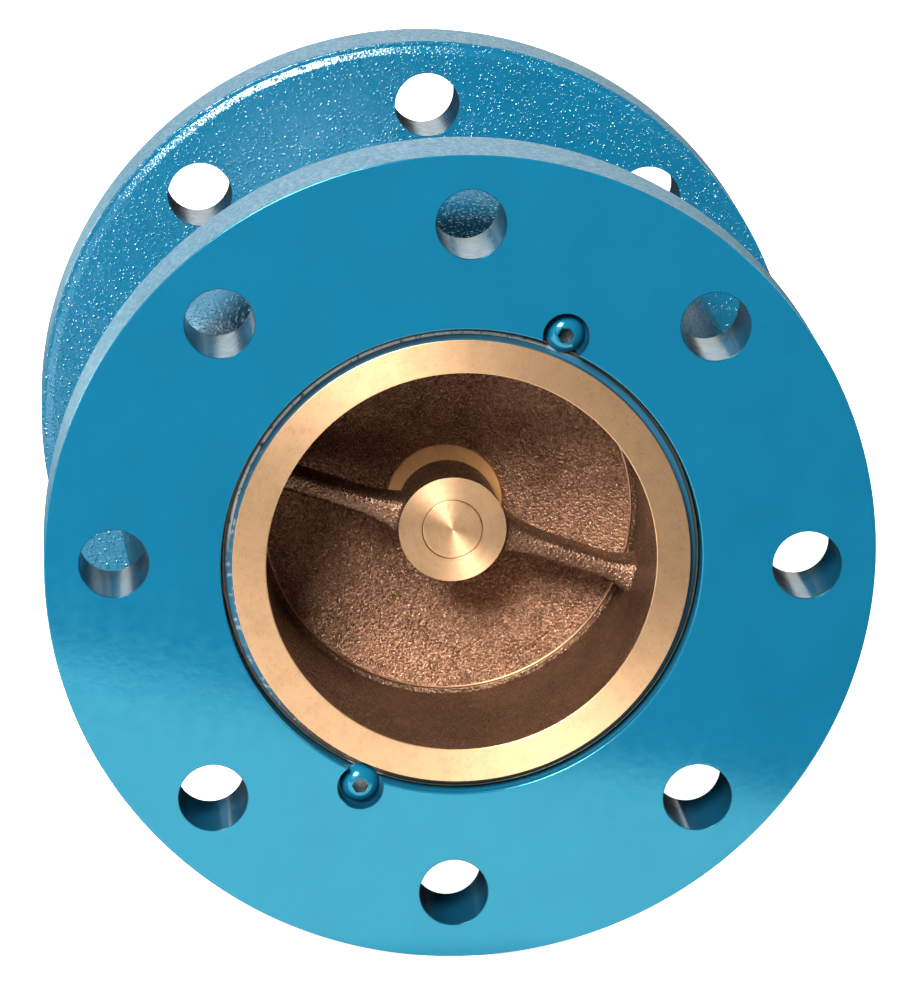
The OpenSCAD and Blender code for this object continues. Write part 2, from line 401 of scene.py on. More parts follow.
class Shader:
    """A node material: each call adds a node, and its inputs are values or other nodes' outputs.

    Noise scales are per metre, and bump distances are in metres."""

    def __init__(self, name):
        self.material = bpy.data.materials.new(name)
        self.material.use_nodes = True
        self.tree = self.material.node_tree
        self.surface = self.tree.nodes["Principled BSDF"]

    def add(self, kind, inputs=None, **settings):
        node = self.tree.nodes.new("ShaderNode" + kind)
        for key, value in settings.items():
            setattr(node, key, value)
        for key, value in (inputs or {}).items():
            self.set(node.inputs[key], value)
        return node

    def set(self, socket, value):
        if isinstance(value, bpy.types.NodeSocket):
            self.tree.links.new(value, socket)
        else:
            socket.default_value = value

    def surface_values(self, **values):
        for key, value in values.items():
            self.set(self.surface.inputs[key.replace("_", " ")], value)

    def position(self):
        return self.add("TexCoord").outputs["Object"]

    def noise(self, scale, detail=2.0, roughness=0.5, vector=None):
        inputs = {"Vector": vector or self.position(), "Scale": scale}
        inputs.update({"Detail": detail, "Roughness": roughness})
        return self.add("TexNoise", inputs).outputs["Fac"]

    def math(self, operation, a, b=0.0):
        return self.add("Math", {0: a, 1: b}, operation=operation).outputs[0]

    def ramp(self, value, low, high, to_low=0.0, to_high=1.0):
        inputs = {"Value": value, "From Min": low, "From Max": high}
        inputs.update({"To Min": to_low, "To Max": to_high})
        return self.add("MapRange", inputs, interpolation_type="SMOOTHSTEP").outputs["Result"]

    def mix(self, share, a, b):
        node = self.add("Mix", data_type="RGBA")
        self.set(node.inputs[0], share)
        self.set(node.inputs[6], a)
        self.set(node.inputs[7], b)
        return node.outputs[2]

    def bump(self, height, distance, strength=1.0, under=None):
        inputs = {"Height": height, "Distance": distance, "Strength": strength}
        if under:
            inputs["Normal"] = under
        return self.add("Bump", inputs).outputs["Normal"]

    def mottle(self, scale, detail, low, high):
        """Sets a roughness that wanders between low and high."""
        self.surface_values(Roughness=self.ramp(self.noise(scale, detail=detail), 0.3, 0.7, low, high))

    def axis_distance(self):
        """Distance from the flow axis, in metres."""
        parts = self.add("SeparateXYZ", {0: self.position()})
        flat = self.add("CombineXYZ", {"X": parts.outputs["X"], "Z": parts.outputs["Z"]})
        return self.add("VectorMath", {0: flat.outputs[0]}, operation="LENGTH").outputs["Value"]

    def depth(self):
        """Distance downstream of the inlet face, in metres."""
        return self.add("SeparateXYZ", {0: self.position()}).outputs["Y"]

    def toward(self, angle):
        """How far a point lies toward an angle, which runs from +X toward +Z, in metres."""
        a = math.radians(angle)
        inputs = {0: self.position(), 1: (math.cos(a), 0, math.sin(a))}
        return self.add("VectorMath", inputs, operation="DOT_PRODUCT").outputs["Value"]


# Colours, linear
PAINT = (0.0035, 0.090, 0.163, 1)
PAINT_DEEP = (0.0030, 0.081, 0.149, 1)
# Painted shade: darker enamel for the walls of holes and pockets
SHADED_HOLE_PAINT = (0.0030, 0.040, 0.075, 1)
SHADED_HOLE_PAINT_DEEP = (0.0025, 0.034, 0.065, 1)
# Steel in the screws' sockets: worn to steel, and darkened as painted shade in the socket
SOCKET_PALE = (0.10, 0.12, 0.13, 1)
SOCKET_DARK = (0.012, 0.020, 0.026, 1)
GLOSS_TINT = (0.28, 1.0, 1.0, 1)
CAST_GLOSS_TINT = (0.75, 1.0, 1.0, 1)
IRON = (0.56, 0.55, 0.56, 1)
# Pale flecks on the rims: worn paint, and a painted reflection of the bright backdrop
WORN_PAINT_AND_PAINTED_SHEEN = (0.46, 0.50, 0.53, 1)
BRONZE = (0.690, 0.425, 0.232, 1)
BRONZE_STAIN = (0.40, 0.215, 0.10, 1)
# Painted highlight: a bright orange spot face and its stains, lighter than the bronze, since the spot lies
# in the hub's shadow
SPOT_BRONZE_PAINTED_LIT = (0.98, 0.50, 0.20, 1)
SPOT_STAIN_PAINTED_LIT = (0.60, 0.26, 0.08, 1)
# Painted highlight: near-white bronze for the ledge's band at the upper left, which lies in shade
BARE_LEDGE_PAINTED_LIT = (1.0, 0.93, 0.80, 1)
CAST_BRONZE = (0.400, 0.208, 0.120, 1)
CAST_BRONZE_DARK = (0.155, 0.075, 0.041, 1)
OVERSPRAY = (0.010, 0.075, 0.125, 1)
# Painted shade: the dark brown that the ledge takes toward the bottom, under the ring's raised face
LEDGE_SHADE_UNDER_RING = (0.045, 0.034, 0.026, 1)
# Painted shadow: near black for the ledge's outer edge, where the body's edge shades it
LEDGE_EDGE_SHADOW = (0.008, 0.010, 0.012, 1)
BLACK_RUBBER = (0.018, 0.018, 0.019, 1)
WIRE_PALE = (0.62, 0.62, 0.61, 1)
WIRE_DULL = (0.40, 0.39, 0.38, 1)
FLOOR_PALE = (0.92, 0.92, 0.92, 1)

# The share of its colour that cast bronze keeps inside the bore, where the darker copy is painted shade,
# and on the guide
BORE_SHADE_SHARE = 0.42
GUIDE_SHARE = 0.48


def enamel(s, paint=PAINT, deep=PAINT_DEEP):
    """Sets up glossy blue enamel and gives its bump."""
    cloud = s.ramp(s.noise(40, detail=4, roughness=0.6), 0.3, 0.75)
    s.surface_values(Base_Color=s.mix(cloud, paint, deep), IOR=1.72)
    s.mottle(260, 3, 0.10, 0.17)
    s.surface.inputs["Specular Tint"].default_value = GLOSS_TINT
    return s.bump(s.noise(520, detail=1), 0.00003, 0.5)


def paint_face(name):
    """Enamel on a machined face, with orange peel."""
    s = Shader(name)
    s.surface_values(Normal=enamel(s))
    return s.material


def paint_cast(name, gloss=0.5):
    """Enamel over sand-cast iron: small hard grains stand out of it and glitter."""
    s = Shader(name)
    peel = enamel(s)
    s.mottle(600, 2, 0.07, 0.12)
    s.surface_values(IOR=1.62)
    s.surface.inputs["Specular Tint"].default_value = CAST_GLOSS_TINT
    s.surface.inputs["Specular IOR Level"].default_value = gloss
    height = s.math("MULTIPLY", s.noise(1300, detail=2, roughness=0.6), 0.75)
    for scale, share in ((640, 1.0), (1050, 0.75)):
        grains = s.add("TexVoronoi", {"Vector": s.position(), "Scale": scale, "Randomness": 1.0})
        dome = s.ramp(grains.outputs["Distance"], 0.02, 0.34, share, 0.0)
        height = s.math("ADD", height, dome)
    s.surface_values(Normal=s.bump(height, 0.00021, 1.0, under=peel))
    return s.material


def paint_wall(name):
    """Enamel inside a drilled hole, darker than on the faces as painted shade, over the faint rings that
    the drill leaves.
    """
    s = Shader(name)
    peel = enamel(s, SHADED_HOLE_PAINT, SHADED_HOLE_PAINT_DEEP)
    s.mottle(300, 3, 0.13, 0.20)
    s.surface_values(IOR=1.40)
    along = s.add("VectorMath", {0: s.position(), 1: (120, 1100, 120)}, operation="MULTIPLY").outputs[0]
    s.surface_values(Normal=s.bump(s.noise(1, detail=2, vector=along), 0.00003, 0.5, under=peel))
    return s.material


def paint_rim(name):
    """Thin enamel over a turned rim, flecked pale where the cuts show through; the pale flecks also carry
    a painted reflection of the bright backdrop.
    """
    s = Shader(name)
    enamel(s)
    along = s.add("VectorMath", {0: s.position(), 1: (900, 2600, 900)}, operation="MULTIPLY").outputs[0]
    fleck = s.noise(1, detail=2.5, roughness=0.6, vector=along)
    bare_and_painted_light = s.ramp(fleck, 0.42, 0.74)
    # The pale flecks stand for worn paint and for a painted reflection of the backdrop
    s.surface_values(Base_Color=s.mix(s.math("MULTIPLY", bare_and_painted_light, 0.60), PAINT, WORN_PAINT_AND_PAINTED_SHEEN))
    s.mottle(500, 2, 0.30, 0.44)
    s.surface_values(Normal=s.bump(fleck, 0.00022, 1.0))
    return s.material


def socket_steel(name):
    """Dull steel in the screws' sockets, where the paint is thin; its dark tone is also painted shade in
    the socket's depth.
    """
    s = Shader(name)
    colour = s.mix(s.noise(900, detail=2), SOCKET_PALE, SOCKET_DARK)
    s.surface_values(Base_Color=colour, Metallic=0.85)
    s.mottle(1200, 2, 0.25, 0.40)
    s.surface_values(Normal=s.bump(s.noise(1500), 0.00004))
    return s.material


def drilled_iron(name):
    """Bored iron, half covered by overspray from the faces."""
    s = Shader(name)
    cover = s.ramp(s.noise(90, detail=4, roughness=0.6), 0.46, 0.62)
    s.surface_values(Base_Color=s.mix(cover, IRON, PAINT))
    s.surface_values(Metallic=s.math("MULTIPLY", s.math("SUBTRACT", 1.0, cover), 0.8))
    s.mottle(300, 3, 0.30, 0.42)
    along = s.add("VectorMath", {0: s.position(), 1: (150, 2600, 150)}, operation="MULTIPLY").outputs[0]
    spiral = s.noise(1, detail=2, vector=along)
    s.surface_values(Normal=s.bump(spiral, 0.00003, 0.8))
    return s.material


def turned_surface(s, fan, clean, stained, metal=1.0):
    """Sheen and bump of turned bronze; gives its colour.

    The fan is how far its fine rings spread the highlights."""
    cloud = s.ramp(s.noise(170, detail=6, roughness=0.75), 0.42, 0.70)
    specks = s.ramp(s.noise(1100, detail=3, roughness=0.7), 0.55, 0.72)
    stain = s.math("ADD", s.math("MULTIPLY", cloud, 0.24), s.math("MULTIPLY", specks, 0.45))
    s.mottle(260, 4, 0.450, 0.468)
    s.surface_values(Metallic=metal, Anisotropic=fan)
    s.surface.inputs["Anisotropic Rotation"].default_value = 0.25
    s.surface_values(Tangent=s.add("Tangent", direction_type="RADIAL", axis="Y").outputs[0])
    rings_at = s.add("CombineXYZ", {"X": s.axis_distance(), "Y": s.depth()}).outputs[0]
    rings = s.noise(6000, detail=2, roughness=0.7, vector=rings_at)
    s.surface_values(Normal=s.bump(rings, 0.000006, 0.5))
    streaks = s.ramp(rings, 0.35, 0.65, 0.0, 0.26)
    return s.mix(s.math("ADD", stain, streaks), clean, stained)


def turned_bronze(name, fan=0.72, clean=BRONZE, stained=BRONZE_STAIN, metal=1.0):
    """Bronze as the lathe leaves it, a little tarnished."""
    s = Shader(name)
    s.surface_values(Base_Color=turned_surface(s, fan, clean, stained, metal))
    return s.material


def oversprayed_bronze(name):
    """The ring's clamped ledge: blue overspray with a few flecks worn bare at the left.

    Its colour also carries painted light: a painted highlight of near-white bronze on the outer band at
    the upper left, painted shade toward the bottom under the ring's raised face, and a nearly black
    painted shadow at its outer edge.
    """
    s = Shader(name)
    bronze = turned_surface(s, 0.5, BARE_LEDGE_PAINTED_LIT, BRONZE_STAIN)
    flecks = s.noise(420, detail=4, roughness=0.65)
    # Painted highlight: lit_upper_left and the outer band choose where the ledge shows near-white bronze;
    # the flecks worn bare at the left show the same bright colour
    lit_upper_left = s.ramp(s.toward(122), 0.032, 0.052)
    left = s.ramp(s.toward(200), 0.030, 0.055)
    # Painted shade: the overspray darkens toward the bottom, under the ring's raised face
    under_ring_shade = s.ramp(s.toward(262), 0.040, 0.058)
    outer = s.ramp(s.axis_distance(), 0.06375, 0.0640)
    bare_and_painted_light = s.math("MULTIPLY", s.math("MULTIPLY", lit_upper_left, outer), s.ramp(flecks, 0.34, 0.48))
    worn = s.math("MULTIPLY", left, s.ramp(flecks, 0.52, 0.60))
    bare_and_painted_light = s.math("MAXIMUM", bare_and_painted_light, s.math("MULTIPLY", worn, 0.2))
    skin = s.mix(under_ring_shade, OVERSPRAY, LEDGE_SHADE_UNDER_RING)
    # Painted shadow: the ledge goes nearly black at its outer edge, in the shade of the body's edge
    edge = s.ramp(s.axis_distance(), 0.0645, 0.0648, 0.0, 0.9)
    s.surface_values(Base_Color=s.mix(edge, s.mix(bare_and_painted_light, skin, bronze), LEDGE_EDGE_SHADOW))
    s.surface_values(Metallic=s.math("MULTIPLY", bare_and_painted_light, 0.5))
    return s.material


def cast_bronze(name, share=1.0, sand_depth=0.00058):
    """Bronze as cast in sand: brown, grainy and dull, with glints.

    The share is how much of its colour it keeps."""
    s = Shader(name)
    light = [c * share for c in CAST_BRONZE[:3]] + [1]
    dark = [c * share for c in CAST_BRONZE_DARK[:3]] + [1]
    cloud = s.ramp(s.noise(45, detail=5, roughness=0.65), 0.30, 0.72, 0.0, 0.6)
    pepper = s.ramp(s.noise(1500, detail=2), 0.42, 0.60, 0.0, 0.5)
    s.surface_values(Base_Color=s.mix(s.math("ADD", cloud, pepper), light, dark), Metallic=0.8)
    s.mottle(1300, 3, 0.20, 0.40)
    grains = s.add("TexVoronoi", {"Vector": s.position(), "Scale": 1350}, feature="F1")
    dips = s.math("MULTIPLY", grains.outputs["Distance"], 0.8)
    height = s.math("SUBTRACT", s.noise(1500, detail=3, roughness=0.6), dips)
    sand = s.bump(height, sand_depth, 1.0)
    s.surface_values(Normal=s.bump(s.noise(300, detail=2), 0.00012, 0.8, under=sand))
    return s.material


def rubber(name):
    """Matt black rubber."""
    s = Shader(name)
    s.surface_values(Base_Color=BLACK_RUBBER)
    s.mottle(300, 2, 0.5, 0.7)
    s.surface_values(Normal=s.bump(s.noise(1800), 0.00002))
    return s.material


def drawn_wire(name):
    """Drawn steel wire, a little dulled."""
    s = Shader(name)
    dull = s.ramp(s.noise(240, detail=4), 0.4, 0.7)
    s.surface_values(Base_Color=s.mix(dull, WIRE_PALE, WIRE_DULL), Metallic=1.0)
    s.mottle(900, 3, 0.22, 0.40)
    s.surface_values(Normal=s.bump(s.noise(2200, detail=3), 0.00002, 0.6))
    return s.material


def floor_white(name):
    """Pale floor. Only the table's top in front of the valve lights it and shows in its gloss; under and
    behind the valve the gloss sees a painted shadow of the valve.
    """
    s = Shader(name)
    parts = s.add("SeparateXYZ", {0: s.position()})
    across = s.math("MULTIPLY", parts.outputs["X"], TABLE_EDGE_SLOPE)
    inside = s.math("SUBTRACT", parts.outputs["Y"], s.math("ADD", across, TABLE_EDGE_Y))
    beyond = s.math("SUBTRACT", 1.0, s.ramp(inside, -TABLE_EDGE_BLUR, TABLE_EDGE_BLUR))
    path = s.add("LightPath")
    seen = path.outputs["Is Camera Ray"]
    glossy = path.outputs["Is Glossy Ray"]
    # Painted shadow: to glossy rays the floor under and behind the valve is dark
    under = s.math("MULTIPLY", s.ramp(parts.outputs["Y"], -0.02, 0.02), glossy)
    off = s.math("MAXIMUM", beyond, under)
    cast_back = s.mix(off, FLOOR_BOUNCE, FLOOR_BEYOND)
    s.surface_values(Base_Color=s.mix(seen, cast_back, FLOOR_PALE), Roughness=0.9)
    s.surface.inputs["Specular IOR Level"].default_value = 0.0
    mirrored = s.math("MULTIPLY", glossy, s.math("SUBTRACT", 1.0, off))
    gloss = s.math("MULTIPLY", mirrored, FLOOR_GLOSS)
    glow = s.math("ADD", s.math("MULTIPLY", seen, FLOOR_GLOW), gloss)
    s.surface_values(Emission_Color=(1, 1, 1, 1), Emission_Strength=glow)
    return s.material


FINISH = {
    "face": paint_face("paint_face"),
    "rim": paint_rim("paint_rim"),
    "cast": paint_cast("paint_cast"),
    "cast_bulb": paint_cast("paint_cast_bulb", 0.22),
    "hole": paint_wall("paint_wall"),
    "socket": socket_steel("steel_socket"),
    "bore": drilled_iron("drilled_iron"),
    "bronze": turned_bronze("bronze_turned"),
    "bronze_face": turned_bronze("bronze_ring_face", 0.64),
    # The spot's bright orange, with little metal, is a painted highlight over the hub's shadow
    "bronze_spot": turned_bronze("bronze_spot", 0.5, SPOT_BRONZE_PAINTED_LIT, SPOT_STAIN_PAINTED_LIT, 0.35),
    "ledge": oversprayed_bronze("bronze_oversprayed"),
    "cast_bronze": cast_bronze("bronze_cast"),
    # Painted shade: a darker copy of cast bronze for the bore, the lip and the plug's closing edge
    "cast_bore": cast_bronze("bronze_cast_bore", BORE_SHADE_SHARE, 0.00035),
    "cast_guide": cast_bronze("bronze_cast_guide", GUIDE_SHARE, 0.00026),
    "rubber": rubber("rubber_black"),
    "wire": drawn_wire("wire_steel"),
}


def finishes(*zones):
    """The materials of some zones, by zone, in that order."""
    return {zone: FINISH[zone] for zone in zones}


# ---------------------------------------------------------------- pieces

def hole_cutter(radius, depth0, depth1, materials):
    """A cutter whose ends flare, so that the hole it leaves has rounded edges."""
    edge = HOLE_EDGE
    mouth = radius + edge
    points = [(0, depth0 - CUTTER_CLEAR, "hole"), (mouth, depth0 - CUTTER_CLEAR, "hole")]
    points += [(r, y, "hole") for r, y in arc((mouth, depth0 + edge), edge, -90, -180, 4)]
    points += [(r, y, "hole") for r, y in arc((mouth, depth1 - edge), edge, 180, 90, 4)]
    points += [(mouth, depth1 + CUTTER_CLEAR, "hole"), (0, depth1 + CUTTER_CLEAR, "hole")]
    return turned("cutter", points, materials, closed=False, segments=HOLE_ROUND)


def body_outline():
    """The body's section, without its holes: outside, outlet bore, chamber and recess.

    A corner is (r, depth, fillet, zone)."""
    outlet_y = LENGTH - OUTLET_FLANGE_T
    bulb_y0 = INLET_FLANGE_T + NECK_FILLET
    bulb_y1 = outlet_y - NECK_FILLET
    middle = (bulb_y0 + bulb_y1) / 2
    half = (bulb_y1 - bulb_y0) / 2
    rise = BULB_R - NECK_R
    arc_r = (half * half + rise * rise) / (2 * rise)
    centre = (BULB_R - arc_r, middle)
    swing = math.degrees(math.asin(half / arc_r))
    inner_r = arc_r - WALL_T
    neck_r = NECK_R + NECK_FILLET
    edge_r = FLANGE_R - EDGE_SHOULDER
    shoulder_r = FLANGE_R - 2.4 * EDGE_SHOULDER

    def cavity_angle(y):
        return math.degrees(math.asin((y - middle) / inner_r))

    def curve(zone, *shape):
        return [(r, y, 0, zone) for r, y in arc(*shape)]

    corners = [
        (RECESS_R, 0, 0.45, "face"),
        (FLANGE_R, 0, 0.35, "rim"),
        (FLANGE_R, INLET_FLANGE_T - EDGE_LIP, 0.5, "cast"),
        (edge_r, INLET_FLANGE_T - EDGE_LIP, 0.4, "cast"),
        (shoulder_r, INLET_FLANGE_T, 1.2, "cast"),
    ]
    corners += curve("cast", (neck_r, INLET_FLANGE_T + NECK_FILLET), NECK_FILLET, -90, -180, 8)
    corners += curve("cast_bulb", centre, arc_r, -swing, swing, 60)
    corners += curve("cast", (neck_r, outlet_y - NECK_FILLET), NECK_FILLET, 180, 90, 8)
    corners += [
        (shoulder_r, outlet_y, 1.2, "cast"),
        (edge_r, outlet_y + EDGE_LIP, 0.4, "cast"),
        (FLANGE_R, outlet_y + EDGE_LIP, 0.5, "rim"),
        (FLANGE_R, LENGTH, 0.8, "face"),
        (OUTLET_R, LENGTH, 1.0, "bore"),
        (OUTLET_R, OUTLET_LAND_Y, 5, "cast"),
    ]
    corners += curve("cast", centre, inner_r, cavity_angle(CAVITY_START_Y), cavity_angle(CAVITY_END_Y), 40)
    corners += [
        (PILOT_R, PILOT_END_Y, 0.6, "bore"),
        (PILOT_R, RECESS_Y, 0.3, "bore"),
        (RECESS_R, RECESS_Y, 0.3, "face"),
    ]
    return resampled(rounded(corners, closed=True), 2.2, closed=True)


def body_cutters(materials):
    """The bolt holes of both flanges and the pockets for the screws' heads."""
    cutters = []
    for face_y, thickness in ((0, INLET_FLANGE_T), (LENGTH - OUTLET_FLANGE_T, OUTLET_FLANGE_T)):
        for i in range(BOLT_COUNT):
            cutter = hole_cutter(BOLT_HOLE_R, face_y, face_y + thickness, materials)
            cutters.append(clocked(cutter, BOLT_CIRCLE_R, i * 360 / BOLT_COUNT))
    mouth = SCREW_POCKET_R + POCKET_EDGE
    for angle in SCREW_ANGLES.values():
        points = [
            (0, -CUTTER_CLEAR, "hole"),
            (mouth, -CUTTER_CLEAR, "hole"),
            (mouth, 0, "hole"),
            (SCREW_POCKET_R, POCKET_EDGE, "hole"),
            (SCREW_POCKET_R, LEDGE_Y, "hole"),
            (0, LEDGE_Y, "hole"),
        ]
        pocket = turned("pocket", points, materials, closed=False, segments=POCKET_ROUND)
        cutters.append(clocked(pocket, SCREW_CIRCLE_R, angle))
    return cutters


def make_body():
    """The painted iron casting."""
    materials = finishes("face", "rim", "cast", "cast_bulb", "bore", "hole")
    body = turned("body_casting", body_outline(), materials, closed=True, relief=lumps(7, 0.30))
    combine(body, [joined("cutters", body_cutters(materials))], "DIFFERENCE")
    spider = rear_spider(materials)
    body = joined("body_casting", [body, spider])
    weighted(body)
    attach(body, "housing")
    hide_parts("body")


def blended(name, solids, voxel, passes, materials):
    """Fuses closed meshes and softens the joints between them, as a casting's fillets do."""
    piece = joined(name, solids)
    remesh = piece.modifiers.new("remesh", "REMESH")
    remesh.mode = "VOXEL"
    remesh.voxel_size = voxel * MM
    soften = piece.modifiers.new("soften", "SMOOTH")
    soften.factor = 0.5
    soften.iterations = passes
    bake(piece)
    piece.data.materials.clear()
    for material in materials:
        piece.data.materials.append(material)
    smooth(piece, 50)
    return piece


def vane(angle, span, mid_y, section, shift, hub, wall, material):
    """A radial vane of rounded oblong section (thickness, length), which swells at its hub and wall.

    hub and wall are (radius, reach, swell) of each flare; span is the radii where the vane starts
    and ends."""
    mesh = bmesh.new()
    steps = 48
    around = 36
    most_swell = 1.6
    swell_along = 0.6
    squareness = (0.52, 0.42)
    rings = []
    a = math.radians(angle)
    out = Vector((math.cos(a), 0, math.sin(a)))
    side = Vector((-math.sin(a), 0, math.cos(a)))
    for i in range(steps + 1):
        r = span[0] + (span[1] - span[0]) * i / steps
        swell = hub[2] * min(most_swell, max(0.0, (hub[0] + hub[1] - r) / hub[1]) ** 2)
        swell += wall[2] * min(most_swell, max(0.0, (r - wall[0] + wall[1]) / wall[1]) ** 2)
        half_t = section[0] / 2 + swell
        half_l = section[1] / 2 + swell * swell_along
        ring = []
        for k in range(around):
            b = 2 * math.pi * k / around
            c = math.cos(b)
            s = math.sin(b)
            across = half_t * math.copysign(abs(c) ** squareness[0], c)
            along = half_l * math.copysign(abs(s) ** squareness[1], s)
            spot = out * r + side * (across + shift) + Vector((0, mid_y + along, 0))
            ring.append(mesh.verts.new(spot * MM))
        rings.append(ring)
    for low, high in zip(rings, rings[1:]):
        for k in range(around):
            mesh.faces.new((low[k], low[(k + 1) % around], high[(k + 1) % around], high[k]))
    mesh.faces.new(rings[0])
    mesh.faces.new(reversed(rings[-1]))
    return finished("vane", mesh, [material])


def rear_spider(materials):
    """Hub and ribs that hold the rear bushing, cast in one with the body."""
    cast = {"cast": materials["cast"]}
    hub_corners = [
        (BUSHING_R - 1, REAR_HUB_Y, 0, "cast"),
        (REAR_HUB_R, REAR_HUB_Y, 1.5, "cast"),
        (REAR_HUB_R, REAR_HUB_BACK_Y, 1.5, "cast"),
        (BUSHING_R - 1, REAR_HUB_BACK_Y, 0, "cast"),
    ]
    hub_points = rounded(hub_corners, closed=True)
    solids = [turned("hub", hub_points, cast, closed=True, segments=HUB_ROUND)]
    for i in range(RIB_COUNT):
        solids.append(vane(RIB_ANGLE + 360 / RIB_COUNT * i, (REAR_HUB_R - 3, RIB_END_R), RIB_MID_Y,
                           (RIB_T, RIB_LEN), 0, (REAR_HUB_R, 9, 3), (RIB_FLARE_R, 9, 3),
                           materials["cast"]))
    spider = blended("rear_spider", solids, 1.0, 8, [materials["cast"], materials["bore"]])
    bore_points = [
        (0, REAR_HUB_Y - 6, "bore"),
        (BUSHING_R, REAR_HUB_Y - 6, "bore"),
        (BUSHING_R, REAR_HUB_BACK_Y + 6, "bore"),
        (0, REAR_HUB_BACK_Y + 6, "bore"),
    ]
    zones = {"cast": materials["cast"], "bore": materials["bore"]}
    bore = turned("bore", bore_points, zones, closed=False, segments=HUB_ROUND)
    combine(spider, [bore], "DIFFERENCE")
    return spider


def make_seat_ring():
    """The bronze seat ring: turned face, cast sleeve, and the cast guide with its turned hub."""
    materials = finishes("bronze", "bronze_face", "cast_guide", "cast_bore", "ledge")
    sleeve = [
        (INLET_R, RING_FACE_Y, 0.30, "bronze_face"),
        (RING_FACE_R, RING_FACE_Y, 0.15, "ledge"),
        (RING_FACE_R, LEDGE_Y, 0.3, "ledge"),
        (RING_FLANGE_R, LEDGE_Y, 0.4, "bronze"),
        (RING_FLANGE_R, RING_BACK_Y, 0.3, "bronze"),
        (SLEEVE_R, RING_BACK_Y, 0.3, "bronze"),
        (SLEEVE_R, GROOVE_Y0, 0, "bronze"),
        (GROOVE_R, GROOVE_Y0, 0.3, "bronze"),
        (GROOVE_R, GROOVE_Y1, 0.3, "bronze"),
        (SLEEVE_R, GROOVE_Y1, 0, "bronze"),
        (SLEEVE_R, SLEEVE_END_Y, 0.3, "bronze"),
        (PLUG_R + SEAT_CLEARANCE, SLEEVE_END_Y, 0.2, "bronze"),
        # The lip and the bore wall take the darker bronze, as painted shade
        (INLET_R - LIP_W, SEAT_Y, 0.12, "cast_bore"),
        (INLET_R, SEAT_Y - LIP_W, 0.3, "cast_bore"),
    ]
    outline = resampled(rounded(sleeve, closed=True), 1.6, closed=True)
    ring = turned("sleeve", outline, materials, closed=True, relief=lumps(7, 0.22, seed=3))
    guide = make_guide(materials)
    seat = joined("seat_ring_casting", [ring, guide])
    weighted(seat)
    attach(seat, "housing")
    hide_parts("seat_ring")


def make_guide(materials):
    """Two cast arms and a hub whose face and bore are turned."""
    zone = "cast_guide"
    cast = {zone: materials[zone]}
    solids = [turned("hub", guide_hub_outline(zone), cast, closed=True, segments=HUB_ROUND)]
    wall_r = INLET_R + 0.35
    wall_points = [
        (wall_r, ARM_WALL_Y0, zone),
        (wall_r + 3, ARM_WALL_Y0, zone),
        (wall_r + 3, ARM_WALL_Y1, zone),
        (wall_r, ARM_WALL_Y1, zone),
    ]
    solids.append(turned("wall", wall_points, cast, closed=True, segments=WALL_ROUND))
    mid_y = ARM_FRONT_Y + ARM_LEN / 2
    for angle in (ARM_ANGLE, ARM_ANGLE + 180):
        solids.append(vane(angle, (HUB_FRONT_R - 4, INLET_R + 2), mid_y, (ARM_T, ARM_LEN), ARM_SHIFT,
                           (HUB_FRONT_R, 13, 2.0), (INLET_R, 8, 2.0), materials[zone]))
    guide = blended("guide", solids, 0.6, 10, [materials[zone], materials["bronze"]])
    zones = {zone: materials[zone], "bronze": materials["bronze"]}
    facing = turned("facing", guide_facing_outline(), zones, closed=False, segments=BORE_ROUND)
    combine(guide, [facing], "DIFFERENCE")
    return guide


def guide_hub_outline(zone):
    """The guide's hub as cast, before its face and bore are turned."""
    corners = [
        (STEM_R - 2, HUB_FRONT_Y - 2, 0, zone),
        (HUB_FRONT_R, HUB_FRONT_Y - 2, 0.5, zone),
        (HUB_FRONT_R, HUB_FRONT_Y + 1, 0, zone),
        (HUB_BACK_R, HUB_BACK_Y, 1.5, zone),
        (STEM_R - 2, HUB_BACK_Y, 0, zone),
    ]
    return rounded(corners, closed=True)


def guide_facing_outline():
    """What the lathe takes off the hub: its face, the bore's chamfer and the bore."""
    bore_r = STEM_R + STEM_BORE_CLEARANCE
    return [
        (0, HUB_FRONT_Y - 6, "bronze"),
        (HUB_FRONT_R + 8, HUB_FRONT_Y - 6, "bronze"),
        (HUB_FRONT_R + 8, HUB_FRONT_Y, "bronze"),
        (STEM_R + 0.26, HUB_FRONT_Y, "bronze"),
        (bore_r, HUB_FRONT_Y + 0.2, "bronze"),
        (bore_r, HUB_BACK_Y + 4, "bronze"),
        (0, HUB_BACK_Y + 4, "bronze"),
    ]


